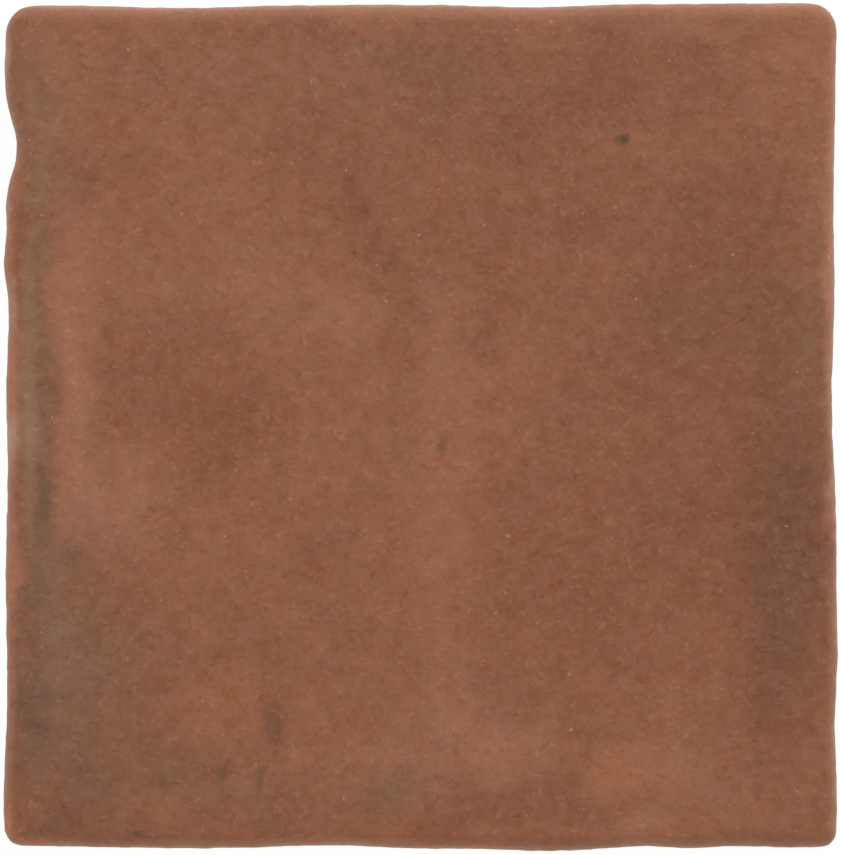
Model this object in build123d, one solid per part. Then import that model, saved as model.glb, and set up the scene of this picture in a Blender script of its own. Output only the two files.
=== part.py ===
from build123d import *
from collections import namedtuple
from math import exp
import os

# Square field tile of fired clay with a hand-pressed look. It lies on its back at z = 0 with its
# face up, +X towards the east side and +Y towards the north side. All sizes are in millimetres.

# Overall size across the proudest points of the sides, and up to the highest swell of the face
width = 131.8
length = 134.0
thickness = 10.0

# Section: the sides draw in towards the back, the face's edges are soft and the back's are bevelled
arris_radius = 3.0
back_bevel = 0.4
back_draft = 0.8
back_wander = 0.7  # share of the sides' wander that is left at the back

# Face: it falls from its crown towards the sides, with swells and hollows on it
face_fall = 0.6  # at the middle of a side
face_flatness = 12  # power of the fall: the higher it is, the nearer to the side the fall begins
face_margin = 4.0  # how far the face surface runs past the sides before it is trimmed
face_spacing = 4.5  # between the points that the face surface follows

# Back: straight grooves that key into the bedding, side by side inside a flat rim
key_rim = 11.0
key_rib = 3.0
key_depth = 0.8
key_corner = 1.5
key_grooves = 9

# Corners of the outline: how far each stands in from the line of the side before it and of the side
# after it, anticlockwise, and its radius
Corner = namedtuple("Corner", "in_before in_after radius")
south_west = Corner(0.17, 0.77, 3.0)
south_east = Corner(0.76, 0.33, 2.4)
north_east = Corner(0.08, 0.06, 4.3)
north_west = Corner(0.54, 0.34, 4.3)
corners = [
    (south_west, -1, -1),
    (south_east, 1, -1),
    (north_east, 1, 1),
    (north_west, -1, 1),
]

# Wander of each side, anticlockwise. A bend is a share of the way from one corner to the next, and
# how far the side stands in there from the line across its proudest point.
Bend = namedtuple("Bend", "share inset")
south_wander = [
    Bend(0.071, 0.73),
    Bend(0.205, 0.46),
    Bend(0.301, 0.60),
    Bend(0.406, 0.90),
    Bend(0.483, 0.46),
    Bend(0.579, 0.30),
    Bend(0.656, 0.00),
    Bend(0.713, 0.32),
    Bend(0.771, 0.76),
    Bend(0.828, 0.48),
    Bend(0.867, 0.74),
    Bend(0.924, 0.62),
]
east_wander = [
    Bend(0.084, 0.19),
    Bend(0.151, 0.46),
    Bend(0.227, 0.00),
    Bend(0.284, 0.17),
    Bend(0.360, 0.17),
    Bend(0.464, 0.68),
    Bend(0.550, 0.96),
    Bend(0.635, 0.56),
    Bend(0.730, 0.65),
    Bend(0.835, 0.51),
    Bend(0.901, 0.36),
]
north_wander = [
    Bend(0.079, 0.00),
    Bend(0.173, 0.17),
    Bend(0.266, 0.21),
    Bend(0.350, 0.66),
    Bend(0.463, 0.36),
    Bend(0.593, 0.33),
    Bend(0.696, 0.47),
    Bend(0.771, 0.80),
    Bend(0.874, 0.53),
]
west_wander = [
    Bend(0.070, 0.17),
    Bend(0.108, 0.40),
    Bend(0.146, 1.66),  # these three make the dent of a finger in the wet edge
    Bend(0.169, 2.13),
    Bend(0.198, 1.36),
    Bend(0.226, 0.50),
    Bend(0.268, 0.46),
    Bend(0.302, 0.02),
    Bend(0.339, 0.58),
    Bend(0.429, 0.47),
    Bend(0.552, 0.62),
    Bend(0.684, 0.30),
    Bend(0.760, 0.46),
    Bend(0.855, 0.46),
    Bend(0.930, 0.00),
]

# Swells and hollows of the face: how far east and north the middle of each stands, as a share of the
# way from the tile's middle to its side, how far it reaches from there, and its height
Swell = namedtuple("Swell", "east north reach_x reach_y rise")
swells = [
    Swell(-0.90, 0.12, 4.5, 42.0, -0.30),  # trough inside the west side
    Swell(-0.78, 0.09, 6.0, 30.0, 0.14),  # ridge beside that trough
    Swell(-0.49, 0.01, 10.0, 9.0, -0.28),  # hollow of a thumb
    Swell(0.06, -0.06, 5.5, 50.0, 0.12),  # spine down the middle
    Swell(0.85, -0.18, 6.5, 40.0, -0.26),  # trough inside the east side
    Swell(0.59, -0.81, 13.0, 8.0, 0.15),  # swell near the south-east corner
    Swell(0.30, -0.88, 12.0, 5.0, -0.14),  # dip inside the south side
    Swell(-0.30, 0.36, 22.0, 16.0, 0.10),  # low rise of the north-west quarter
]

# Height of the face where nothing swells or falls, and of the sides' widest line, where the soft
# edge of the face begins
flat_level = thickness - max(swell.rise for swell in swells)
shoulder = flat_level - face_fall - arris_radius


def outline(z):
    """The wire around the tile at height z: four wandering sides that meet at sharp corners."""
    drawn_in = back_draft * (1 - z / shoulder)
    left = 1 - (1 - back_wander) * (1 - z / shoulder)  # share of the wander that is left at z
    across, up = width / 2 - drawn_in, length / 2 - drawn_in
    sides = [
        (2 * across, (-across, -up), south_west, south_wander, south_east),
        (2 * up, (across, -up), south_east, east_wander, north_east),
        (2 * across, (across, up), north_east, north_wander, north_west),
        (2 * up, (-across, up), north_west, west_wander, south_west),
    ]
    edges = []
    for quarter, (run, origin, first, wander, last) in enumerate(sides):
        bends = [Bend(0, first.in_after), *wander, Bend(1, last.in_before)]
        start, end = left * first.in_before, run - left * last.in_after
        points = [(start + bend.share * (end - start), left * bend.inset) for bend in bends]
        side = Edge.make_spline(points, parameters=[bend.share for bend in bends])
        edges.append(Location((*origin, z), (0, 0, 90 * quarter)) * side)
    return Wire(edges)


def upright(edge):
    """Whether an edge runs up the tile, as the edge between two sides does."""
    return abs(edge.tangent_at(0.5).Z) > 0.9


def slab():
    """The body of the tile with rounded corners, standing higher than its face will be."""
    body = Part() + Solid.make_loft([outline(0), outline(thickness + arris_radius)], ruled=True)
    for corner, east, north in corners:
        place = (east * width / 2, north * length / 2, thickness / 2)
        edge = body.edges().filter_by(upright).sort_by_distance(place)[0]
        body = fillet(edge, corner.radius)
    return body


def face_level(x, y):
    """Height of the face at a point in plan."""
    share_x, share_y = abs(2 * x / width), abs(2 * y / length)
    level = flat_level - face_fall * (share_x**face_flatness + share_y**face_flatness)
    for swell in swells:
        off_x = (x - swell.east * width / 2) / swell.reach_x
        off_y = (y - swell.north * length / 2) / swell.reach_y
        level += swell.rise * exp(-(off_x**2) - off_y**2)
    return level


def stations(size):
    """Evenly spaced places across a size, and past its ends by the face's margin."""
    reach = size / 2 + face_margin
    gaps = round(2 * reach / face_spacing)
    return [reach * (2 * number / gaps - 1) for number in range(gaps + 1)]


def clay_over_face():
    """The clay that stands over the face, as it is pressed away."""
    grid = [[Vector(x, y, face_level(x, y)) for y in stations(length)] for x in stations(width)]
    face = Face.make_surface_from_array_of_points(grid)
    return extrude(face, amount=thickness, dir=(0, 0, 1))


def grooves():
    """The grooves of the back, which run north and share the width between the rims."""
    groove_width = (width - 2 * key_rim - (key_grooves - 1) * key_rib) / key_grooves
    groove = extrude(RectangleRounded(groove_width, length - 2 * key_rim, key_corner), key_depth)
    return [place * groove for place in GridLocations(groove_width + key_rib, 0, key_grooves, 1)]


def tile():
    """The whole tile, one fired piece, with the middle of its back on the origin."""
    body = slab() - clay_over_face()
    body = fillet(body.faces().sort_by(Axis.Z)[-1].edges(), arris_radius)
    body = chamfer(body.faces().sort_by(Axis.Z)[0].edges(), back_bevel)
    middle = body.bounding_box().center()
    body = Pos(-middle.X, -middle.Y, 0) * body
    return body - grooves()


os.makedirs("parts", exist_ok=True)
export_step(tile(), "parts/tile.step")
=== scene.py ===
"""A square tile of fired clay with a hand-pressed face, smoke and wear from the kiln, and a keyed back."""

import logging
import math
from dataclasses import dataclass, field
from enum import Enum

import bpy
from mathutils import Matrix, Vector


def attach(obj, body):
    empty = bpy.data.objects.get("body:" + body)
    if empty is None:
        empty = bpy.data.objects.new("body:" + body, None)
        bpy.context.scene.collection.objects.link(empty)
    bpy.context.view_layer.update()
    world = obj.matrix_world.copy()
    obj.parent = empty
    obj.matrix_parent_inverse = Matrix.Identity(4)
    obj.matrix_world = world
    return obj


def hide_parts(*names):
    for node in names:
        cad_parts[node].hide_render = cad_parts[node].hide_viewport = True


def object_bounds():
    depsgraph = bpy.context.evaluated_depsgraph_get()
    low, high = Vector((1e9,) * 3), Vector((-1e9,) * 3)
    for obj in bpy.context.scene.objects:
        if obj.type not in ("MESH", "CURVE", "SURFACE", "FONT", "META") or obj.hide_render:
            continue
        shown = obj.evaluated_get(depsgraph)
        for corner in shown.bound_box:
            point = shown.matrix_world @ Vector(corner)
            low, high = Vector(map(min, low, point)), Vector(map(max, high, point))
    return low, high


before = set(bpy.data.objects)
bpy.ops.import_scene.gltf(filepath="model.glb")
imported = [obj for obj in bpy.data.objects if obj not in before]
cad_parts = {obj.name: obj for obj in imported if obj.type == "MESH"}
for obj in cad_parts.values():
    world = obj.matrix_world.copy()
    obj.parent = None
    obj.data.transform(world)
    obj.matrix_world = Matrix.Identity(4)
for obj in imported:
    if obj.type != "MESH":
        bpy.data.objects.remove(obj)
cad_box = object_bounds()

MM = 0.001  # one millimetre in metres
SPOTS = 3  # spots that one group of nodes draws, one in each channel of its vectors
SOFT_REACH = 0.955  # share of a stain's reach at which its colour has come to nothing
log = logging.getLogger("tile")

Colour = tuple[float, float, float, float]
Levels = tuple[float, float]  # the level of a value at which something begins, and at which it is full
Socket = bpy.types.NodeSocket


def tone(red: int, green: int, blue: int) -> Colour:
    """A colour from its screen values.

    Args:
        red, green, blue: Screen values from 0 to 255.

    Returns:
        The linear colour, with an alpha of 1.
    """
    linear = [
        share / 12.92 if share <= 0.04045 else ((share + 0.055) / 1.055) ** 2.4
        for share in (red / 255, green / 255, blue / 255)
    ]
    return (*linear, 1.0)


class Worktop:
    """The nodes of one material, group or world, and short ways to place and join them."""

    COLUMNS = 12  # nodes side by side before a new row begins
    COLUMN_WIDTH = 200
    ROW_HEIGHT = 260

    def __init__(self, tree: bpy.types.NodeTree) -> None:
        """Starts on an emptied node tree.

        Args:
            tree: The tree that the nodes go into.
        """
        self.tree = tree
        tree.nodes.clear()

    def node(self, kind: str, **settings: object) -> bpy.types.Node:
        """Places a node.

        Args:
            kind: The node's type, without the leading ShaderNode.
            settings: Properties of the node to set.

        Returns:
            The new node.
        """
        placed = self.tree.nodes.new(kind if kind.startswith("Node") else "ShaderNode" + kind)
        row, column = divmod(len(self.tree.nodes), self.COLUMNS)
        placed.location = (column * self.COLUMN_WIDTH, -row * self.ROW_HEIGHT)
        for name, value in settings.items():
            setattr(placed, name, value)
        return placed

    def feed(self, socket: Socket, source: object) -> None:
        """Joins an output to an input, or sets the input's own value.

        Args:
            socket: The input.
            source: An output socket, or a plain value.
        """
        if isinstance(source, bpy.types.NodeSocket):
            self.tree.links.new(source, socket)
        else:
            socket.default_value = source

    def feed_all(self, placed: bpy.types.Node, **sources: object) -> None:
        """Feeds several inputs of a node.

        Args:
            placed: The node.
            sources: What each input gets, by its name with a space written as an underscore.
        """
        for name, source in sources.items():
            self.feed(placed.inputs[name.replace("_", " ")], source)

    def math(self, operation: str, *inputs: object, clamp: bool = False) -> Socket:
        """Works out one number from others.

        Args:
            operation: The Math node's operation.
            inputs: Its inputs, in order.
            clamp: Whether the result is kept from 0 to 1.

        Returns:
            The result.
        """
        placed = self.node("Math", operation=operation, use_clamp=clamp)
        for socket, source in zip(placed.inputs, inputs):
            self.feed(socket, source)
        return placed.outputs[0]

    def total(self, *terms: tuple[Socket, object]) -> Socket:
        """Adds up numbers, each times its weight.

        Args:
            terms: Each number and its weight.

        Returns:
            The sum.
        """
        (first, weight), *others = terms
        result = self.math("MULTIPLY", first, weight)
        for value, weight in others:
            result = self.math("MULTIPLY_ADD", value, weight, result)
        return result

    def vector(self, operation: str, *inputs: object) -> Socket:
        """Works out one vector from others, or their dot product.

        Args:
            operation: The Vector Math node's operation.
            inputs: Its inputs, in order.

        Returns:
            The result.
        """
        placed = self.node("VectorMath", operation=operation)
        for socket, source in zip(placed.inputs, inputs):
            self.feed(socket, source)
        return placed.outputs["Value" if operation == "DOT_PRODUCT" else "Vector"]

    def axes(self, source: Socket) -> bpy.types.NodeOutputs:
        """The X, Y and Z of a vector."""
        placed = self.node("SeparateXYZ")
        self.feed(placed.inputs[0], source)
        return placed.outputs

    def channels(self, source: Socket) -> bpy.types.NodeOutputs:
        """The red, green and blue of a colour."""
        placed = self.node("SeparateColor")
        self.feed(placed.inputs[0], source)
        return placed.outputs

    def stretch(self, value: object, low: float, high: float, to_low: float = 0.0, to_high: float = 1.0,
                soft: bool = True) -> Socket:
        """Maps a range of a number onto another range, and holds it at the ends.

        Args:
            value: The number.
            low, high: The range that it is read in.
            to_low, to_high: The range that it is given.
            soft: Whether it eases in and out at the ends.

        Returns:
            The mapped number.
        """
        placed = self.node("MapRange", interpolation_type="SMOOTHSTEP" if soft else "LINEAR")
        self.feed_all(placed, Value=value, From_Min=low, From_Max=high, To_Min=to_low, To_Max=to_high)
        return placed.outputs[0]

    def mix(self, factor: object, first: object, second: object) -> Socket:
        """Mixes two colours.

        Args:
            factor: How much of the second colour shows.
            first, second: The colours.

        Returns:
            The mixed colour.
        """
        placed = self.node("Mix", data_type="RGBA")
        inputs = {socket.identifier: socket for socket in placed.inputs}
        self.feed(inputs["Factor_Float"], factor)
        self.feed(inputs["A_Color"], first)
        self.feed(inputs["B_Color"], second)
        return next(socket for socket in placed.outputs if socket.identifier == "Result_Color")

    def noise(self, where: object, grain: object, detail: float = 2.0,
              roughness: float = 0.5) -> bpy.types.Node:
        """Places a noise.

        Args:
            where: The coordinates that it reads.
            grain: Size of its lumps, in metres.
            detail: How many finer noises lie on it.
            roughness: How strong the finer ones are.

        Returns:
            The noise node.
        """
        placed = self.node("TexNoise")
        scale = self.math("DIVIDE", 1.0, grain) if isinstance(grain, bpy.types.NodeSocket) else 1 / grain
        self.feed_all(placed, Vector=where, Scale=scale, Detail=detail, Roughness=roughness)
        return placed

    def pushed(self, where: Socket, noise: bpy.types.Node, push: object) -> Socket:
        """Coordinates pushed about by a noise.

        Args:
            where: The coordinates.
            noise: The noise.
            push: How far it pushes them, in metres.

        Returns:
            The pushed coordinates.
        """
        away = self.node("VectorMath", operation="SCALE")
        off_centre = self.vector("SUBTRACT", noise.outputs["Color"], (0.5, 0.5, 0.5))
        self.feed_all(away, Vector=off_centre, Scale=push)
        return self.vector("ADD", where, away.outputs["Vector"])

    def group(self, tree: bpy.types.NodeTree, **inputs: object) -> bpy.types.Node:
        """Places a node group.

        Args:
            tree: The group.
            inputs: Its inputs by name, with a space written as an underscore.

        Returns:
            The group's node.
        """
        placed = self.node("Group", node_tree=tree)
        self.feed_all(placed, **inputs)
        return placed


class Effect:
    """A node group with named inputs and outputs, open for its nodes to be placed."""

    def __init__(self, name: str, inputs: dict[str, str], outputs: dict[str, str]) -> None:
        """Makes the group and its sockets.

        Args:
            name: The group's name.
            inputs: Kind of each input by name, such as Float or Vector.
            outputs: Kind of each output by name.
        """
        self.tree = bpy.data.node_groups.new(name, "ShaderNodeTree")
        for way, sockets in (("INPUT", inputs), ("OUTPUT", outputs)):
            for label, kind in sockets.items():
                self.tree.interface.new_socket(label, in_out=way, socket_type="NodeSocket" + kind)
        self.top = Worktop(self.tree)
        self.source = self.top.node("NodeGroupInput").outputs
        self.sink = self.top.node("NodeGroupOutput").inputs


def ragged_border() -> bpy.types.NodeTree:
    """Coordinates pushed about by noise, which gives a stain its ragged border.

    Returns:
        The group, with inputs Vector, Grain and Push, both in metres, and output Vector.
    """
    effect = Effect("ragged_border", {"Vector": "Vector", "Grain": "Float", "Push": "Float"},
                    {"Vector": "Vector"})
    where = effect.source["Vector"]
    noise = effect.top.noise(where, effect.source["Grain"], detail=2.0, roughness=0.6)
    effect.top.feed(effect.sink["Vector"], effect.top.pushed(where, noise, effect.source["Push"]))
    return effect.tree


def soft_spots() -> bpy.types.NodeTree:
    """Three soft spots seen from above, one in each channel, each 1 in its middle and 0 at its reach.

    Returns:
        The group, with inputs East and North, which hold the place in all three channels, then the scale and
        shift that put each spot's middle at 0 and its reach at 1, and Strength. Its output is Mask, the sum.
    """
    labels = ("East", "North", "East Scale", "East Shift", "North Scale", "North Shift", "Strength")
    effect = Effect("soft_spots", dict.fromkeys(labels, "Vector"), {"Mask": "Float"})
    top = effect.top
    source = effect.source
    east = top.vector("MULTIPLY_ADD", source["East"], source["East Scale"], source["East Shift"])
    north = top.vector("MULTIPLY_ADD", source["North"], source["North Scale"], source["North Shift"])
    away = top.vector("MULTIPLY_ADD", east, east, (-1.0, -1.0, -1.0))
    away = top.vector("MULTIPLY_ADD", north, north, away)
    inside = top.vector("MINIMUM", away, (0.0, 0.0, 0.0))
    spots = top.vector("MULTIPLY", inside, inside)
    top.feed(effect.sink["Mask"], top.vector("DOT_PRODUCT", spots, source["Strength"]))
    return effect.tree


@dataclass(frozen=True)
class Grain:
    """The grain of fired clay: sand, crumbs, the torn edges of dragged crumbs, pits and pale flecks.

    Attributes:
        lumps, drags, sand, crumbs, shreds: Widths of its noises, in metres.
        cells: Width of the cells that may each hold a fleck or a pit, in metres.
        bend: How far the drags push the crumbs, the shreds and the cells, in metres.
        torn, scuffed: Levels of the drags that show the shreds pale, and dark.
        pale, dark, flake: Levels of the shreds that pale the clay, darken it, and stand up from it.
        fleck_pick: Levels of a cell's first random number that give it a fleck, from none to the largest.
        fleck_size: Reach of the largest fleck, as a share of its cell.
        fleck_edge: Distances inside a fleck's border between which it sets in.
        fleck_faintest: Strength of the faintest fleck.
        pit_pick: Levels of a cell's third random number that give it a pit.
        pit_size: Reach of a pit, as a share of its cell.
        sand_height to fleck_height: How far each stands up from the clay, in shares of the bump.
        sand_tone to pit_tone: How much each lightens the clay, or darkens it where it is negative.
        mean_tone: What all of them come to on average.
    """

    lumps: float = 2.4 * MM
    drags: float = 1.9 * MM
    sand: float = 0.36 * MM
    crumbs: float = 1.0 * MM
    shreds: float = 0.8 * MM
    cells: float = 1.7 * MM
    bend: float = 1.1 * MM
    torn: Levels = (0.44, 0.60)
    scuffed: Levels = (0.46, 0.60)
    pale: Levels = (0.58, 0.72)
    dark: Levels = (0.42, 0.30)
    flake: Levels = (0.46, 0.66)
    fleck_pick: Levels = (0.52, 1.0)
    fleck_size: float = 0.16
    fleck_edge: Levels = (-0.04, 0.06)
    fleck_faintest: float = 0.2
    pit_pick: Levels = (0.72, 0.90)
    pit_size: float = 0.17
    sand_height: float = 0.14
    crumb_height: float = 1.2
    lump_height: float = 2.4
    flake_height: float = 0.60
    pit_height: float = -0.60
    fleck_height: float = 0.45
    sand_tone: float = 0.08
    crumb_tone: float = 0.52
    lump_tone: float = 0.86
    pale_tone: float = 0.32
    dark_tone: float = -0.20
    pit_tone: float = -0.16
    mean_tone: float = 0.75

    def group(self) -> bpy.types.NodeTree:
        """Builds the grain's node group.

        Returns:
            The group, with inputs Vector and Coarseness, and outputs Height, Tone, Hue, Glow and Fleck. Tone,
            Hue and Glow lie around 0.
        """
        effect = Effect("clay_grain", {"Vector": "Vector", "Coarseness": "Float"},
                        dict.fromkeys(("Height", "Tone", "Hue", "Glow", "Fleck"), "Float"))
        top = effect.top
        where = effect.source["Vector"]
        lumps = top.noise(where, self.lumps, detail=2.0, roughness=0.6)
        lump_colours = top.channels(lumps.outputs["Color"])
        drags = top.noise(where, self.drags, detail=0.0)
        drag_colours = top.channels(drags.outputs["Color"])
        bent = top.pushed(where, drags, self.bend)
        sand = top.noise(where, self.sand, detail=0.0).outputs["Fac"]
        crumbs = top.noise(bent, self.crumbs, detail=1.0, roughness=0.55).outputs["Fac"]
        shreds = top.noise(bent, self.shreds, detail=0.4).outputs["Fac"]
        torn = top.stretch(drag_colours["Red"], *self.torn)
        scuffed = top.stretch(drag_colours["Blue"], *self.scuffed)
        pale = top.math("MULTIPLY", top.stretch(shreds, *self.pale), torn)
        dark = top.math("MULTIPLY", top.stretch(shreds, *self.dark), scuffed)
        flake = top.math("MULTIPLY", top.stretch(shreds, *self.flake), torn)
        fleck, pit = self.flecks_and_pits(top, bent)

        lump_height = top.math("MULTIPLY", effect.source["Coarseness"], self.lump_height)
        height = top.total((sand, self.sand_height), (crumbs, self.crumb_height),
                           (lumps.outputs["Fac"], lump_height), (flake, self.flake_height),
                           (pit, self.pit_height), (fleck, self.fleck_height))
        tone_level = top.total((sand, self.sand_tone), (crumbs, self.crumb_tone),
                               (lump_colours["Green"], self.lump_tone), (pale, self.pale_tone),
                               (dark, self.dark_tone), (pit, self.pit_tone))
        top.feed(effect.sink["Height"], height)
        top.feed(effect.sink["Tone"], top.math("SUBTRACT", tone_level, self.mean_tone))
        top.feed(effect.sink["Hue"], top.math("SUBTRACT", lump_colours["Blue"], 0.5))
        top.feed(effect.sink["Glow"], top.math("SUBTRACT", lump_colours["Red"], 0.5))
        top.feed(effect.sink["Fleck"], fleck)
        return effect.tree

    def flecks_and_pits(self, top: Worktop, where: Socket) -> tuple[Socket, Socket]:
        """Scatters flecks and pits over the clay.

        Args:
            top: The group's nodes.
            where: The coordinates.

        Returns:
            Where the flecks show, and where the pits do.
        """
        cells = top.node("TexVoronoi", feature="F1")
        top.feed_all(cells, Vector=where, Scale=1 / self.cells)
        away = cells.outputs["Distance"]
        pick = top.channels(cells.outputs["Color"])
        size = top.stretch(pick["Red"], *self.fleck_pick, 0.0, self.fleck_size, soft=False)
        strength = top.stretch(pick["Green"], 0.0, 1.0, self.fleck_faintest, 1.0, soft=False)
        fleck = top.stretch(top.math("SUBTRACT", size, away), *self.fleck_edge)
        pit = top.stretch(away, self.pit_size, 0.0)
        return (top.math("MULTIPLY", fleck, strength),
                top.math("MULTIPLY", pit, top.stretch(pick["Blue"], *self.pit_pick)))


class Kind(Enum):
    """What has coloured a place on the face, each with the colour that it leaves; some kinds also carry
    painted highlights and painted shade.
    """

    SMOKE = tone(115, 82, 61)
    ASH = tone(142, 113, 87)
    SHADE = tone(98, 64, 44)
    EARTH = tone(122, 70, 42)
    BLUSH_AND_HIGHLIGHT = tone(172, 118, 93)
    RUST = tone(176, 106, 68)
    WORN = tone(180, 113, 79)
    CHALK = tone(194, 162, 139)
    SOOT = tone(78, 60, 46)

    @property
    def crisp(self) -> bool:
        """Whether its places have a finely notched border instead of a wide ragged one."""
        return self in (Kind.SOOT, Kind.ASH, Kind.WORN, Kind.CHALK)


@dataclass(frozen=True)
class Stain:
    """A coloured place on the face, in millimetres from the tile's middle.

    Attributes:
        east, north: Its middle.
        reach_x, reach_y: How far it reaches from there.
        strength: How much of its colour shows in its middle.
    """

    east: float
    north: float
    reach_x: float
    reach_y: float
    strength: float


@dataclass(frozen=True)
class Press:
    """A hollow pressed into the wet clay, in millimetres.

    Attributes:
        east, north: Its middle.
        reach_x, reach_y: How far it reaches from there, before it is turned.
        depth: How deep it is in its middle.
        turn: How far it is turned anticlockwise, in degrees.
    """

    east: float
    north: float
    reach_x: float
    reach_y: float
    depth: float
    turn: float = 0.0

    def share(self, east: float, north: float) -> float:
        """How much of the press is felt at a place.

        Args:
            east, north: The place, in millimetres.

        Returns:
            1 in its middle, 0 from its reach outwards.
        """
        angle = math.radians(self.turn)
        off_x, off_y = east - self.east, north - self.north
        along = (off_x * math.cos(angle) + off_y * math.sin(angle)) / self.reach_x
        across = (off_y * math.cos(angle) - off_x * math.sin(angle)) / self.reach_y
        left = max(0.0, 1 - math.hypot(along, across))
        return left * left * (3 - 2 * left)


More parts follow.
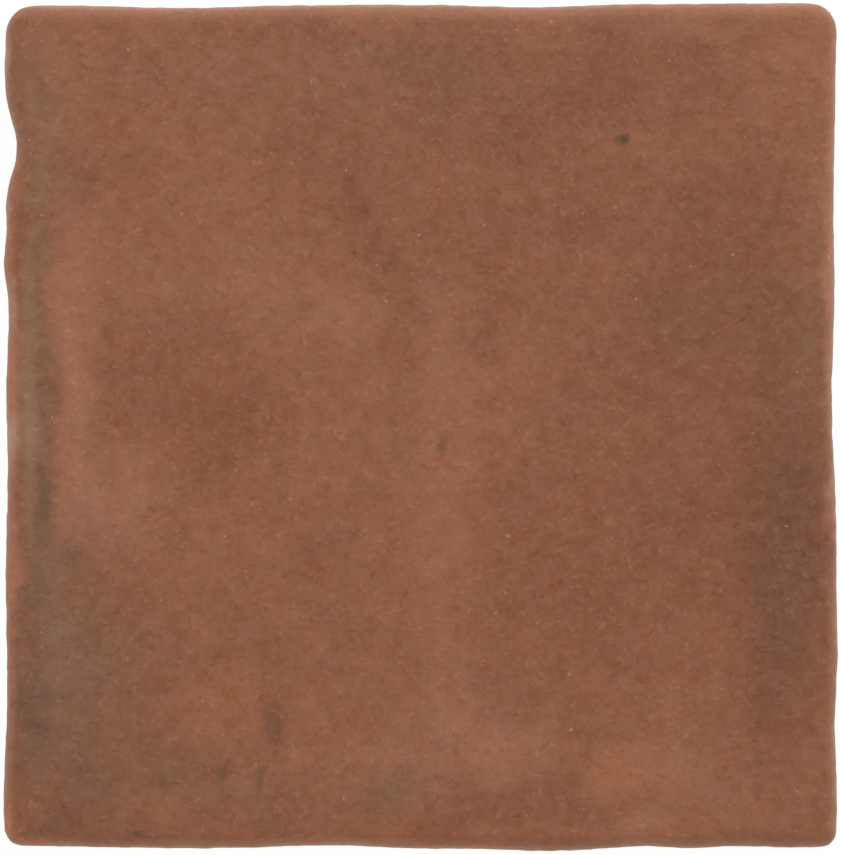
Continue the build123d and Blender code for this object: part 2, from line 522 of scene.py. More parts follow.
STAINS: dict[Kind, list[Stain]] = {
    Kind.SMOKE: [  # left by the kiln, most of it down the west side and in the south-west quarter
        Stain(-60.2, 16, 3.8, 40, 0.50),
        Stain(-59.8, -12, 4.4, 24, 0.40),
        Stain(-58, -40, 16, 40, 0.36),
        Stain(-60.5, -30, 6, 20, 0.22),
        Stain(-61.2, -46, 4.6, 13, 0.42),
        Stain(-58.8, -12.5, 3.2, 9, 0.60),
        Stain(-61.5, 54, 5, 12, 0.32),
        Stain(-56.5, -21, 4, 5, 0.24),
        Stain(-52.5, -27, 14, 16, 0.22),
        Stain(-50, -46, 26, 24, 0.33),
        Stain(-36, -58, 32, 13, 0.34),
        Stain(-56, 40, 9, 7, 0.30),
        Stain(-4.8, -57.5, 15, 5, 0.30),
        Stain(-7, -57, 7, 4, 0.10),
        Stain(-4, -54.4, 10, 3.4, 0.24),
        Stain(53.6, -46, 4, 6, 0.22),
        Stain(60, -43, 5, 6, 0.16),
        Stain(24, -56.6, 6, 3.6, 0.24),
        Stain(-43, -34, 8, 8, 0.22),
        Stain(13.5, -60, 15, 5, 0.13),
        Stain(-54, -16.5, 6, 8, 0.34),
        Stain(-3, 58.5, 14, 6, 0.20),
        Stain(57.5, -26, 6, 40, 0.26),
        Stain(-61.6, -24.2, 2.8, 7, 0.42),
    ],
    Kind.ASH: [  # pale, along the sides
        Stain(-61.8, 4, 2.2, 34, 0.55),
        Stain(-60, 26, 4, 34, 0.14),
        Stain(-59, 48, 9, 28, 0.20),
        Stain(-58, -22, 4, 16, 0.14),
        Stain(-55, -39, 7, 15, 0.14),
        Stain(-64.8, 4, 2.4, 16, 0.45),
        Stain(-18, 56, 50, 13, 0.12),
        Stain(-6, -57, 16, 5, 0.13),
        Stain(62, 20, 4, 50, 0.14),
        Stain(59.4, 10, 4, 20, 0.18),
        Stain(-57, -34, 5, 10, 0.14),
        Stain(58.6, -21, 6, 7, 0.24),
        Stain(60, -59, 7, 7, 0.12),
    ],
    Kind.SHADE: [  # where the fire caught the clay, and painted shade in the thumb's hollow and along the crease
        Stain(-15, 62, 9, 3, 0.16),
        # This and the one after next are painted shade in the thumb's hollow; the one between is painted
        # shade along the crease.
        Stain(-34, -2, 12, 9, 0.12),
        Stain(-9, 34, 7, 9, 0.16),
        Stain(-25.5, 6.5, 8, 5, 0.16),
        Stain(-57, -63, 6, 4, 0.42),
        Stain(-61, -44, 4, 9, 0.24),
        Stain(-58.8, -12, 3, 8, 0.43),
        Stain(-61, -45.6, 3.6, 5, 0.22),
        Stain(4, 53, 26, 19, 0.31),
        Stain(22, 31, 17, 7, 0.20),
        Stain(36.5, 14, 22, 15, 0.22),
        Stain(-44, 54, 13, 11, 0.13),
        Stain(57, 43, 10, 17, 0.13),
        # Painted shade at the north-west end of the crease.
        Stain(-15, 42, 12, 12, 0.17),
        Stain(33, 31, 9, 6, 0.17),
        Stain(48, 37, 20, 13, 0.16),
        Stain(23, 3, 12, 12, 0.12),
        Stain(-22, -63.5, 5, 3, 0.26),
        Stain(57.5, -8, 13, 56, 0.44),
        Stain(60, -15, 8, 22, 0.13),
        Stain(63, -24, 5, 24, 0.14),
        Stain(54.5, -34, 9, 24, 0.24),
        Stain(47, 23, 26, 22, 0.29),
        Stain(38, 55, 28, 14, 0.17),
        Stain(28, 46, 38, 22, 0.12),
        Stain(44, -12, 18, 20, 0.24),
        Stain(-13, -36, 14, 14, 0.10),
    ],
    Kind.EARTH: [  # browner clay, and painted shade in and round the thumb's hollow
        # The first two and the fifth are painted shade in the thumb's hollow.
        Stain(-31.5, -3, 16, 14, 0.40),
        Stain(-34, 6, 12, 6, 0.24),
        Stain(24, -26, 26, 20, 0.12),
        Stain(45, -22, 18, 18, 0.16),
        Stain(-25.5, 1.5, 9, 7, 0.27),
        Stain(-38, 31, 9, 8, 0.15),
    ],
    Kind.BLUSH_AND_HIGHLIGHT: [  # paler, pinker clay, with painted highlight where it stands proud on the west ridge and along the east and west rims
        # The first two light the west rim and the next two the ridge inside it: painted highlight.
        Stain(-64.6, 4, 2.6, 18, 0.60),
        Stain(-64.6, -22, 2.4, 14, 0.40),
        Stain(-54.6, 20, 6.5, 24, 0.30),
        Stain(-54.8, 1, 6, 23, 0.36),
        Stain(-48.3, -12, 14, 14, 0.34),
        Stain(-28, 23, 24, 14, 0.14),
        Stain(37.8, -54.2, 20, 9, 0.26),
        Stain(34, -63.5, 8, 4, 0.36),
        Stain(41, 62.8, 14, 3.5, 0.18),
        Stain(12.5, -56.4, 6, 3, 0.22),
        Stain(5, -49.5, 16, 12, 0.24),
        Stain(15, -51, 12, 7, 0.28),
        Stain(-11, 17.5, 10, 8, 0.25),
        Stain(50, -60, 10, 6, 0.16),
        Stain(-45, 22, 8, 8, 0.12),
        Stain(-6, -51.6, 13, 2.6, 0.16),
        Stain(4.2, -10, 9, 44, 0.13),
        Stain(4.2, 15, 7.5, 13, 0.16),
        Stain(4.2, -41, 7, 12, 0.16),
        # These three are a painted highlight along the east rim.
        Stain(65.2, 20, 2.6, 34, 0.46),
        Stain(65.2, -30, 2.2, 30, 0.20),
        Stain(65.2, -11, 2.2, 9, 0.46),
    ],
    Kind.RUST: [  # redder clay
        Stain(30.6, -55.4, 8, 6.5, 0.30),
        Stain(-33, -44.5, 11, 10, 0.22),
        Stain(4.2, -16, 10, 36, 0.16),
        Stain(-64.8, 0, 3.2, 10, 0.20),
        Stain(-41, -59, 8, 5, 0.20),
        Stain(-64.5, 38.8, 3, 3, 0.18),
        Stain(4, -65.2, 90, 3.2, 0.13),
    ],
    Kind.WORN: [  # edges that are worn down to the orange clay
        Stain(-66, 20, 5, 32, 0.62),
        Stain(-66, -30, 5, 52, 0.56),
        Stain(-62, -64, 9, 9, 0.80),
        Stain(-20, -67, 60, 4, 0.55),
        Stain(66, 30, 4, 50, 0.30),
    ],
    Kind.CHALK: [  # on the west edge
        Stain(-64.8, -2, 2.6, 6, 0.42),
        Stain(-66.2, 57.5, 2.2, 7.5, 0.62),
        Stain(-66.2, 33.5, 2, 6.5, 0.62),
        Stain(-61, -2, 3, 5.5, 0.13),
        Stain(-64.8, 20, 2, 7, 0.20),
    ],
    Kind.SOOT: [  # specks of iron and soot, and painted shade along the crease
        Stain(31.8, 45.3, 1.5, 1.2, 0.80),
        # These three are painted shade along the crease.
        Stain(-11.4, 37.6, 1.9, 3.6, 0.17),
        Stain(-9.2, 33.8, 1.9, 3.6, 0.19),
        Stain(-7, 30, 1.9, 3.6, 0.22),
        Stain(-8.8, 60.5, 1.8, 1.3, 0.50),
        Stain(-58.6, -11.8, 2.6, 7, 0.17),
        # Painted shade at the south-east end of the crease.
        Stain(-4.9, 26.2, 1.9, 2.7, 0.42),
        Stain(3.4, -3, 1.3, 2.8, 0.34),
        Stain(53.2, -25.8, 1.6, 4.4, 0.20),
        Stain(54.8, -32, 2, 6, 0.22),
        Stain(54.4, -43, 1.8, 4, 0.22),
        Stain(53.2, -52.7, 1.4, 2.6, 0.30),
        Stain(52.8, -57.4, 1.2, 2.2, 0.22),
        Stain(-23, -46.3, 3, 5.4, 0.45),
        Stain(-30, -46, 2, 2.6, 0.22),
        Stain(-51.4, 39, 2.2, 1.3, 0.40),
        Stain(-40.4, -56.1, 1.2, 2.8, 0.40),
        Stain(-25.4, -55.6, 1, 3.4, 0.42),
        Stain(-31.2, -54.4, 1.9, 2, 0.34),
        Stain(-44.3, -64, 1.8, 1.2, 0.50),
        Stain(-42.7, -32.6, 2, 1.6, 0.22),
        Stain(-19, -63.5, 1.6, 1.2, 0.30),
    ],
}
UNSEEN = Stain(0, 0, 1, 1, 0)  # makes up the number where a kind has too few

PRESSES = [
    Press(-32.5, 1, 18, 16, 0.10),  # hollow of a thumb
    Press(-8.6, 32.5, 12, 2, 0.13, -57),  # crease in the north-west quarter
    Press(11, 19.5, 7, 2.2, 0.10, -22),  # drag mark north of the middle
    Press(3.9, 12, 2.6, 20, 0.03),  # shallow furrow down the middle
    Press(31.8, 45.3, 1.3, 1.2, 0.35),  # pit round the iron speck
    Press(-23, -46.3, 2.6, 5, 0.06),  # nick in the south-west quarter
]


@dataclass(frozen=True)
class Veil:
    """A colour that lies over another where a value runs from one level to the next.

    Attributes:
        colour: The colour.
        levels: Levels of the value at which it begins and is full.
        strength: How much of it shows where it is full.
    """

    colour: Colour
    levels: Levels
    strength: float

    def over(self, top: Worktop, value: Socket, under: object) -> Socket:
        """Lays the veil over a colour.

        Args:
            top: The nodes.
            value: The value that it follows.
            under: The colour under it.

        Returns:
            The mixed colour.
        """
        return top.mix(top.stretch(value, *self.levels, 0.0, self.strength), under, self.colour)


DARK_CLAY_AND_SHADE = tone(127, 78, 53)  # where the clay is darker, and the colour of the painted shade in the back's grooves
OLIVE = tone(132, 87, 61)  # where it is duller
DUST = tone(190, 166, 144)  # where it is rubbed to dust


@dataclass(frozen=True)
class SmoothClay:
    """The clay of the face, which a hand has smoothed.

    Attributes:
        colour: Colour between its clouds.
        wide_cloud, small_cloud: Widths of its clouds, in metres.
        wide_shade, small_shade: How they darken and dull it.
        pale_edge_and_highlight: How it pales where it rounds off, partly paler clay and partly a painted
            highlight along the rounded edge.
    """

    colour: Colour = tone(142, 89, 62)
    wide_cloud: float = 22 * MM
    small_cloud: float = 5 * MM
    wide_shade: Veil = Veil(DARK_CLAY_AND_SHADE, (0.36, 0.66), 0.60)
    small_shade: Veil = Veil(OLIVE, (0.42, 0.70), 0.55)
    pale_edge_and_highlight: Veil = Veil(tone(166, 122, 97), (0.985, 0.60), 0.45)

    def show(self, top: Worktop, where: Socket, up: Socket) -> Socket:
        """Works out its colour.

        Args:
            top: The material's nodes.
            where: The coordinates.
            up: How far the surface faces up, from -1 to 1.

        Returns:
            The colour.
        """
        wide = top.noise(where, self.wide_cloud, detail=2.0, roughness=0.55).outputs["Fac"]
        small = top.noise(where, self.small_cloud, detail=2.0, roughness=0.6).outputs["Fac"]
        clouded = self.small_shade.over(top, small, self.wide_shade.over(top, wide, self.colour))
        # The rounded edge is paled all round: partly paler clay, partly a painted highlight.
        return self.pale_edge_and_highlight.over(top, up, clouded)


@dataclass(frozen=True)
class RawClay:
    """The clay of the sides and the back, which nobody has smoothed.

    Attributes:
        colour: Colour between its clouds.
        cloud: Width of its clouds, in metres.
        cloud_shade: How they dull it.
        layer: Width of the layers that it was drawn out in, in metres.
        layer_shape: How far they are drawn out along each axis.
        dust, shade: How the layers pale it and darken it.
        under: How far it faces up where the back begins, and where it is the back all over.
        groove: Heights over the back at which the painted shade in a groove begins, and is full.
        painted_groove_shade: How much painted shade darkens the grooves.
    """

    colour: Colour = tone(160, 112, 86)
    cloud: float = 7 * MM
    cloud_shade: Veil = Veil(OLIVE, (0.38, 0.68), 0.80)
    layer: float = 1.1 * MM
    layer_shape: tuple[float, float, float] = (2.0, 2.0, 0.8)
    dust: Veil = Veil(DUST, (0.50, 0.72), 0.32)
    shade: Veil = Veil(DARK_CLAY_AND_SHADE, (0.46, 0.28), 0.50)
    under: Levels = (-0.80, -0.97)
    groove: Levels = (0.10 * MM, 0.55 * MM)
    painted_groove_shade: float = 0.40

    def show(self, top: Worktop, where: Socket, up: Socket) -> Socket:
        """Works out its colour.

        Args:
            top: The material's nodes.
            where: The coordinates.
            up: How far the surface faces up, from -1 to 1.

        Returns:
            The colour.
        """
        cloud = top.noise(where, self.cloud, detail=2.0, roughness=0.6).outputs["Fac"]
        layers = top.node("Mapping", vector_type="TEXTURE")
        top.feed_all(layers, Vector=where, Scale=self.layer_shape)
        drawn = top.noise(layers.outputs["Vector"], self.layer, detail=1.0, roughness=0.6).outputs["Fac"]
        colour = self.cloud_shade.over(top, cloud, self.colour)
        colour = self.shade.over(top, drawn, self.dust.over(top, drawn, colour))
        # Painted shade in the back's grooves, darker the higher the groove lies.
        groove = top.stretch(top.axes(where)["Z"], *self.groove, 0.0, self.painted_groove_shade)
        return top.mix(top.math("MULTIPLY", top.stretch(up, *self.under), groove), colour, DARK_CLAY_AND_SHADE)


@dataclass(frozen=True)
class Wear:
    """The wear along the rounded edge.

    Attributes:
        top_end: How far the edge faces up where the wear begins, and where it is full.
        low_end: The same where it ends below, from none to full.
        notches: Levels of the notches at which it is least, and full.
        least: Share of it that the notches leave.
    """

    top_end: Levels = (0.97, 0.80)
    low_end: Levels = (0.20, 0.55)
    notches: Levels = (0.36, 0.60)
    least: float = 0.2

    def share(self, top: Worktop, up: Socket, notched: Socket) -> Socket:
        """Works out how much the clay is worn.

        Args:
            top: The material's nodes.
            up: How far the surface faces up, from -1 to 1.
            notched: The noise that breaks up its border.

        Returns:
            The share of wear, from 0 to 1.
        """
        band = top.math("MULTIPLY", top.stretch(up, *self.top_end), top.stretch(up, *self.low_end))
        return top.math("MULTIPLY", band, top.stretch(notched, *self.notches, self.least, 1.0))


@dataclass(frozen=True)
class Border:
    """How the border of a stain is broken up, in metres.

    Attributes:
        notch: Width of its notches.
        push: How far they move it.
    """

    notch: float
    push: float


@dataclass(frozen=True)
class Staining:
    """What the kiln and the years have left on the face, with painted highlights and painted shade among it.

    Attributes:
        stains: The coloured places of each kind.
        most: The most that one kind covers of what lies under it.
        ragged: The border of the wide ones.
        crisp: The border of the finely notched ones.
    """

    stains: dict[Kind, list[Stain]] = field(default_factory=lambda: STAINS)
    most: float = 0.92
    ragged: Border = Border(9 * MM, 7 * MM)
    crisp: Border = Border(1.8 * MM, 1.5 * MM)

    def over(self, top: Worktop, where: Socket, worn: Socket, colour: Socket) -> Socket:
        """Lays the stains over the clay, one kind after another.

        Args:
            top: The material's nodes.
            where: The coordinates.
            worn: How much the clay is worn at each place.
            colour: The clay's colour.

        Returns:
            The stained colour.
        """
        spots = soft_spots()
        edge = ragged_border()
        ragged, crisp = [self.sheet(top, top.group(edge, Vector=where, Grain=border.notch, Push=border.push))
                         for border in (self.ragged, self.crisp)]
        for kind in Kind:
            mask = self.mask(top, spots, self.stains[kind], crisp if kind.crisp else ragged)
            if kind is Kind.WORN:
                mask = top.math("MULTIPLY", mask, worn)
            colour = top.mix(top.math("MINIMUM", mask, self.most), colour, kind.value)
        return colour

    def sheet(self, top: Worktop, pushed: bpy.types.Node) -> tuple[Socket, Socket]:
        """Splits pushed coordinates for the spots, which read each axis in three channels.

        Args:
            top: The material's nodes.
            pushed: The border's node.

        Returns:
            How far east, and how far north, each three times over.
        """
        axes = top.axes(pushed.outputs["Vector"])
        sides = []
        for axis in ("X", "Y"):
            three = top.node("CombineXYZ")
            for socket in three.inputs:
                top.feed(socket, axes[axis])
            sides.append(three.outputs[0])
        return sides[0], sides[1]

    def mask(self, top: Worktop, spots: bpy.types.NodeTree, stains: list[Stain],
             sheet: tuple[Socket, Socket]) -> Socket:
        """Adds up stains.

        Args:
            top: The material's nodes.
            spots: The group that draws a few spots at a time.
            stains: The stains.
            sheet: How far east and north each place is.

        Returns:
            How much of their colour shows at each place.
        """
        stains = stains + [UNSEEN] * (-len(stains) % SPOTS)
        mask = None
        for first in range(0, len(stains), SPOTS):
            some = stains[first:first + SPOTS]
            placed = top.group(
                spots, East=sheet[0], North=sheet[1],
                East_Scale=[1 / (SOFT_REACH * stain.reach_x * MM) for stain in some],
                East_Shift=[-stain.east / (SOFT_REACH * stain.reach_x) for stain in some],
                North_Scale=[1 / (SOFT_REACH * stain.reach_y * MM) for stain in some],
                North_Shift=[-stain.north / (SOFT_REACH * stain.reach_y) for stain in some],
                Strength=[stain.strength for stain in some])
            mask = placed.outputs[0] if mask is None else top.math("ADD", mask, placed.outputs[0])
        return mask


@dataclass(frozen=True)
class FiredClay:
    """The tile's material: smooth clay on the face, raw clay on the sides and the back, and one grain.

    Attributes:
        smooth: The clay of the face.
        staining: What lies on it.
        wear: The wear along its edge.
        raw: The clay of the sides and the back.
        raw_from: How far up the clay faces where it begins to be raw, and where it is raw all over.
        notch: Width of the notches in that border and in the worn edge, in metres.
        notch_push: How far they move that border, in the same measure as raw_from.
        edge_dust: Dust along that border.
        grain: The grain of both clays.
        coarseness: How lumpy the grain is.
        bloom: Light that its palest places add to the colour, in linear red, green and blue.
        hue_swing, glow_swing: How far it swings the hue and the saturation.
        fleck, fleck_strength: Colour of its pale flecks, and how much of that shows.
        roughness, raw_roughness: Of the face, and of the sides and the back.
        grain_roughness: How much rougher the palest grain is.
        relief, raw_relief: How much of its relief the face shows, and how much the sides and the back do.
        relief_depth: Depth of the relief, in metres.
        gloss: Strength of the clay's faint mirror.
    """

    smooth: SmoothClay = SmoothClay()
    staining: Staining = Staining()
    wear: Wear = Wear()
    raw: RawClay = RawClay()
    raw_from: Levels = (0.40, 0.05)
    notch: float = 2.2 * MM
    notch_push: float = 0.5
    edge_dust: Veil = Veil(DUST, (0.70, 0.30), 0.25)
    grain: Grain = Grain()
    coarseness: float = 0.5
    bloom: tuple[float, float, float] = (0.110, 0.066, 0.047)
    hue_swing: float = 0.009
    glow_swing: float = 0.12
    fleck: Colour = tone(222, 166, 138)
    fleck_strength: float = 0.32
    roughness: float = 0.58
    raw_roughness: float = 0.82
    grain_roughness: float = 0.25
    relief: float = 0.40
    raw_relief: float = 0.88
    relief_depth: float = 0.14 * MM
    gloss: float = 0.25

    def material(self) -> bpy.types.Material:
        """Builds the material.

        Returns:
            The material, which reads object coordinates.
        """
        made = bpy.data.materials.new("fired_clay")
        made.use_nodes = True
        top = Worktop(made.node_tree)
        place = top.node("TexCoord").outputs
        where = place["Object"]
        up = top.axes(place["Normal"])["Z"]
        notched = top.noise(where, self.notch, detail=2.0, roughness=0.6).outputs["Fac"]
        worn = self.wear.share(top, up, notched)
        colour = self.staining.over(top, where, worn, self.smooth.show(top, where, up))

        off_centre = top.math("SUBTRACT", up, self.notch_push / 2)
        tilt = top.math("MULTIPLY_ADD", notched, self.notch_push, off_centre)
        raw_share = top.stretch(tilt, *self.raw_from)
        colour = top.mix(raw_share, colour, self.raw.show(top, where, up))
        colour = self.edge_dust.over(top, tilt, colour)

        grain = top.group(self.grain.group(), Vector=where, Coarseness=self.coarseness).outputs
        tinted = top.node("HueSaturation")
        top.feed_all(tinted, Color=colour, Hue=top.math("MULTIPLY_ADD", grain["Hue"], self.hue_swing, 0.5),
                     Saturation=top.math("MULTIPLY_ADD", grain["Glow"], self.glow_swing, 1.0))
        colour = top.vector("MULTIPLY_ADD", grain["Tone"], self.bloom, tinted.outputs["Color"])
        colour = top.mix(top.math("MULTIPLY", grain["Fleck"], self.fleck_strength), colour, self.fleck)

        rough = top.math("MULTIPLY_ADD", raw_share, self.raw_roughness - self.roughness, self.roughness)
        rough = top.math("MULTIPLY_ADD", grain["Tone"], self.grain_roughness, rough, clamp=True)
        relief = top.math("MULTIPLY_ADD", raw_share, self.raw_relief - self.relief, self.relief)
        bump = top.node("Bump")
        top.feed_all(bump, Height=grain["Height"], Strength=relief, Distance=self.relief_depth)

        clay = top.node("BsdfPrincipled")
        clay.inputs["Specular IOR Level"].default_value = self.gloss
        top.feed_all(clay, Base_Color=colour, Roughness=rough, Normal=bump.outputs["Normal"])
        top.feed(top.node("OutputMaterial").inputs["Surface"], clay.outputs["BSDF"])
        return made


@dataclass
class Tile:
    """The tile itself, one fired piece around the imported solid.

    Attributes:
        node: Name of the solid that it stands for.
        presses: The hand's presses in it.
        weld: Distance at which the solid's loose corners are joined, in metres.
        voxel: Width of the mesh's squares, in metres.
        face_tilt: How far a vertex faces up where the face's relief begins and where it is full.
        side_tilt: How far it faces up where the sides' relief begins and where it is full.
        swell: How far the sides are let out before the relief takes them in, in metres.
        face_relief: Depth of the soft unevenness of the face, in metres.
        face_lumps: Width of that unevenness, in metres.
        side_relief: Depth of the rough sides, in metres.
        side_lumps: Width of the lumps on the sides, in metres.
        lump_layers: How many finer layers of lumps lie on each kind.
    """

    node: str = "tile"
    presses: tuple[Press, ...] = tuple(PRESSES)
    weld: float = 0.001 * MM
    voxel: float = 0.66 * MM
    face_tilt: Levels = (0.5, 0.9)
    side_tilt: Levels = (0.9, 0.4)
    swell: float = 0.15 * MM
    face_relief: float = 0.12 * MM
    face_lumps: float = 9 * MM
    side_relief: float = 0.28 * MM
    side_lumps: float = 2.6 * MM
    lump_layers: int = 3

    @property
    def deepest(self) -> float:
        """Depth of the deepest press, in millimetres."""
        return max(press.depth for press in self.presses)

    def build(self, finish: FiredClay) -> bpy.types.Object:
        """Makes the tile and gives it its finish.

        Args:
            finish: The clay.

        Returns:
            The finished piece.
        """
        piece = self.copy_of_solid()
        self.group_vertices(piece)
        self.raise_relief(piece)
        bpy.ops.object.shade_smooth()
        piece.data.materials.clear()
        piece.data.materials.append(finish.material())
        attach(piece, "root")
        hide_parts(self.node)
        return piece

    def copy_of_solid(self) -> bpy.types.Object:
        """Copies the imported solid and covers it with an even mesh.

        Returns:
            The copy, selected and active.
        """
        bpy.ops.object.select_all(action="DESELECT")
        piece = bpy.data.objects.new("fired_tile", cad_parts[self.node].data.copy())
        bpy.context.collection.objects.link(piece)
        piece.select_set(True)
        bpy.context.view_layer.objects.active = piece
        bpy.ops.object.mode_set(mode="EDIT")
        bpy.ops.mesh.select_all(action="SELECT")
        bpy.ops.mesh.remove_doubles(threshold=self.weld)
        bpy.ops.object.mode_set(mode="OBJECT")
        cover = piece.modifiers.new("even_mesh", "REMESH")
        cover.mode = "VOXEL"
        cover.voxel_size = self.voxel
        bpy.ops.object.modifier_apply(modifier=cover.name)
        return piece

    def group_vertices(self, piece: bpy.types.Object) -> None:
        """Sorts the vertices into those of the face, of the sides and of the hand's presses.

        Args:
            piece: The tile.
        """
        face = piece.vertex_groups.new(name="face")
        sides = piece.vertex_groups.new(name="sides")
        hollows = piece.vertex_groups.new(name="hollows")
        face_from, face_full = self.face_tilt
        side_from, side_full = self.side_tilt
        for vertex in piece.data.vertices:
            up = vertex.normal.z
            if up < side_from:
                share = min(1.0, (side_from - up) / (side_from - side_full))
                sides.add([vertex.index], share, "REPLACE")
            if up > face_from:
                share = min(1.0, (up - face_from) / (face_full - face_from))
                face.add([vertex.index], share, "REPLACE")
                east, north = vertex.co.x / MM, vertex.co.y / MM
                depth = sum(press.depth * press.share(east, north) for press in self.presses)
                if depth > 0:
                    hollows.add([vertex.index], min(1.0, depth / self.deepest), "REPLACE")

    def raise_relief(self, piece: bpy.types.Object) -> None:
        """Gives the surface the unevenness of hand-pressed clay, and keeps it inside the solid's box.

        Args:
            piece: The tile, selected and active.
        """
        self.displace(piece, "letting_out", self.swell, 0.0, "sides")
        self.displace(piece, "hand_presses", -self.deepest * MM, 0.0, "hollows")
        self.displace(piece, "face_unevenness", self.face_relief, 1.0, "face", self.face_lumps)
        self.displace(piece, "rough_sides", self.side_relief, 1.0, "sides", self.side_lumps)
        low, high = cad_box
        for vertex in piece.data.vertices:
            vertex.co = [min(max(place, least), most) for place, least, most in zip(vertex.co, low, high)]

    def displace(self, piece: bpy.types.Object, name: str, strength: float, middle: float,
                 group: str, lumps: float = 0.0) -> None:
        """Pushes vertices along their normals and applies the push.

        Args:
            piece: The tile, selected and active.
            name: The modifier's name.
            strength: How far they go, in metres.
            middle: The texture's level that stays where it is.
            group: The vertex group that moves.
            lumps: Width of the lumps in metres, or 0 for an even push.
        """
        push = piece.modifiers.new(name, "DISPLACE")
        push.strength = strength
        push.mid_level = middle
        push.vertex_group = group
        if lumps:
            clouds = bpy.data.textures.new(name, "CLOUDS")
            clouds.noise_scale = lumps
            clouds.noise_depth = self.lump_layers
            push.texture = clouds
            push.texture_coords = "LOCAL"
        bpy.ops.object.modifier_apply(modifier=push.name)


@dataclass(frozen=True)
class Lamp:
    """A soft square lamp that shines on the tile.

    Attributes:
        name: Its name.
        place: Where it hangs, in metres.
        width: Width of its shade, in metres.
        power: Its power in watts.
    """

    name: str
    place: tuple[float, float, float]
    width: float
    power: float

    def hang(self) -> None:
        """Hangs the lamp."""
        shade = bpy.data.lights.new(self.name, "AREA")
        shade.shape = "SQUARE"
        shade.size = self.width
        shade.energy = self.power
        lamp = bpy.data.objects.new(self.name, shade)
        lamp.location = self.place
        lamp.rotation_euler = (-Vector(self.place)).to_track_quat("-Z", "Y").to_euler()
        bpy.context.collection.objects.link(lamp)


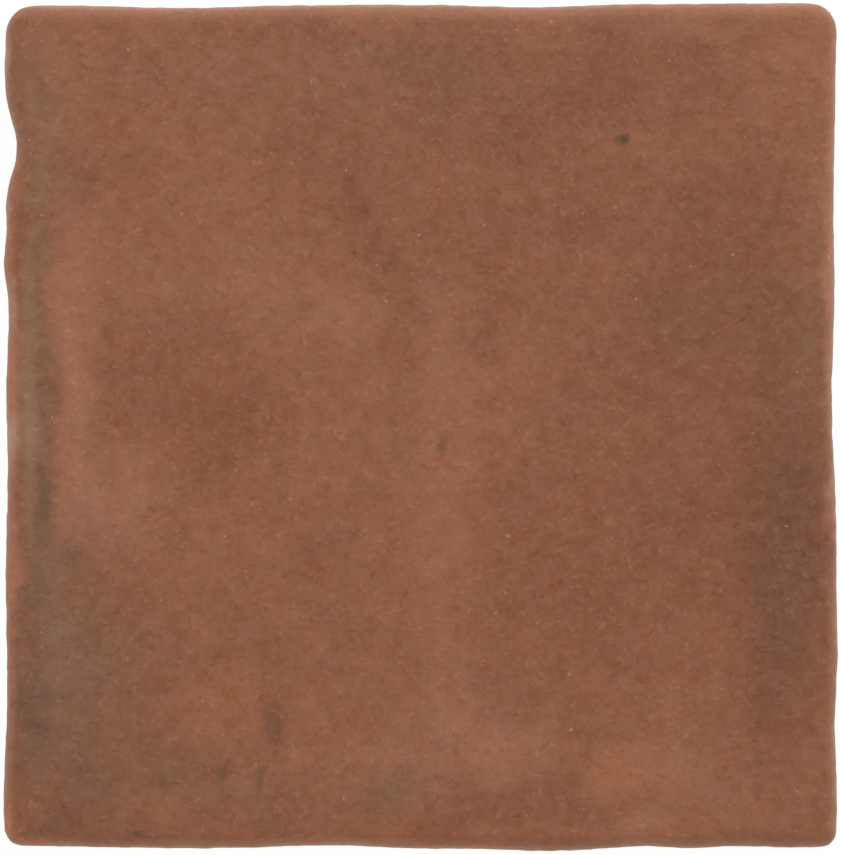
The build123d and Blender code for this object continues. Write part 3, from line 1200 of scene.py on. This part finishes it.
@dataclass
class Studio:
    """The table that the tile lies on, the soft light over it and the camera.

    Attributes:
        table: Width of the white table, in metres.
        paper: Colour of the table under the light.
        glow: Strength of the white that the table shows straight to the camera.
        shown: Share of that white, beside the light and shadow that fall on the table.
        drop: How far the table lies below the tile's back, in metres.
        clearance: How far above the table light still passes through it, so that the back is lit, in metres.
        ambient: Strength of the light from all round.
        lamps: The lamps.
        lens: Focal length of the camera, in millimetres.
        sensor: Length of its sensor's long side, in millimetres.
        clip: The nearest and the farthest that it sees, in metres.
        frame_length: What the picture's long side shows at the tile's widest line, in metres.
        widest: Height of that line, in metres.
        aim: The point of the tile under the camera, in metres.
    """

    table: float = 6.0
    paper: Colour = (0.95, 0.95, 0.95, 1.0)
    glow: float = 1.028
    shown: float = 0.92
    drop: float = 0.02 * MM
    clearance: float = 1.3 * MM
    ambient: float = 0.72
    lamps: tuple[Lamp, ...] = (
        Lamp("window_north", (0.25, 0.98, 0.70), 0.9, 8.5),
        Lamp("under_table", (-0.45, 0.30, -0.90), 0.8, 6.0),
    )
    lens: float = 250.0
    sensor: float = 36.0
    clip: tuple[float, float] = (0.05, 20.0)
    frame_length: float = 135.09 * MM
    widest: float = 6.3 * MM
    aim: tuple[float, float] = (-0.016 * MM, -0.07 * MM)

    def build(self) -> None:
        """Sets up the whole studio."""
        self.lay_table()
        self.light_room()
        for lamp in self.lamps:
            lamp.hang()
        self.place_camera()

    def seen_directly(self, top: Worktop) -> Socket:
        """Whether a ray comes straight from the camera or by way of a gloss or glass.

        Args:
            top: The nodes of the table or the world.

        Returns:
            1 for such a ray, 0 for any other.
        """
        ray = top.node("LightPath").outputs
        mirrored = top.math("MAXIMUM", ray["Is Glossy Ray"], ray["Is Transmission Ray"])
        return top.math("MAXIMUM", ray["Is Camera Ray"], mirrored)

    def lay_table(self) -> None:
        """Lays the white table, which shows from above alone and lets light through to the tile's back."""
        bpy.ops.object.select_all(action="DESELECT")
        bpy.ops.mesh.primitive_plane_add(size=self.table, location=(0, 0, -self.drop))
        table = bpy.context.active_object
        table.name = "table"
        made = bpy.data.materials.new("white_table")
        made.use_nodes = True
        top = Worktop(made.node_tree)
        paper = top.node("BsdfDiffuse")
        paper.inputs["Color"].default_value = self.paper
        white = top.node("Emission")
        white.inputs["Strength"].default_value = self.glow
        front = top.node("MixShader")
        top.feed(front.inputs[0], top.math("MULTIPLY", self.seen_directly(top), self.shown))
        top.feed(front.inputs[1], paper.outputs[0])
        top.feed(front.inputs[2], white.outputs[0])
        both = top.node("MixShader")
        near = top.math("LESS_THAN", top.node("LightPath").outputs["Ray Length"], self.clearance)
        behind = top.node("NewGeometry").outputs["Backfacing"]
        top.feed(both.inputs[0], top.math("MAXIMUM", near, behind))
        top.feed(both.inputs[1], front.outputs[0])
        top.feed(both.inputs[2], top.node("BsdfTransparent").outputs[0])
        top.feed(top.node("OutputMaterial").inputs["Surface"], both.outputs[0])
        table.data.materials.append(made)

    def light_room(self) -> None:
        """Fills the room with even light, and shows it as white."""
        world = bpy.data.worlds.new("room")
        bpy.context.scene.world = world
        world.use_nodes = True
        top = Worktop(world.node_tree)
        room = top.node("Background")
        direct = self.seen_directly(top)
        top.feed(room.inputs["Strength"], top.math("MULTIPLY_ADD", direct, 1 - self.ambient, self.ambient))
        room.inputs["Color"].default_value = (1, 1, 1, 1)
        top.feed(top.node("OutputWorld").inputs["Surface"], room.outputs[0])

    def place_camera(self) -> None:
        """Puts the camera straight over the tile."""
        lens = bpy.data.cameras.new("camera")
        lens.lens = self.lens
        lens.sensor_width = self.sensor
        lens.clip_start, lens.clip_end = self.clip
        camera = bpy.data.objects.new("camera", lens)
        camera.location = (*self.aim, self.widest + self.frame_length * self.lens / self.sensor)
        bpy.context.collection.objects.link(camera)
        bpy.context.scene.camera = camera


def report(piece: bpy.types.Object) -> None:
    """Says what a finished piece holds.

    Args:
        piece: The piece.
    """
    corners = [Vector(corner) for corner in piece.bound_box]
    size = [max(axis) - min(axis) for axis in zip(*corners)]
    log.info("%s: %d vertices, %d faces, %s mm", piece.name, len(piece.data.vertices),
             len(piece.data.polygons), [round(length / MM, 2) for length in size])


def main() -> None:
    """Builds the studio and the tile."""
    logging.basicConfig(level=logging.INFO, format="%(message)s")
    bpy.context.scene.view_settings.view_transform = "Standard"
    Studio().build()
    report(Tile().build(FiredClay()))


if __name__ == "__main__":
    main()
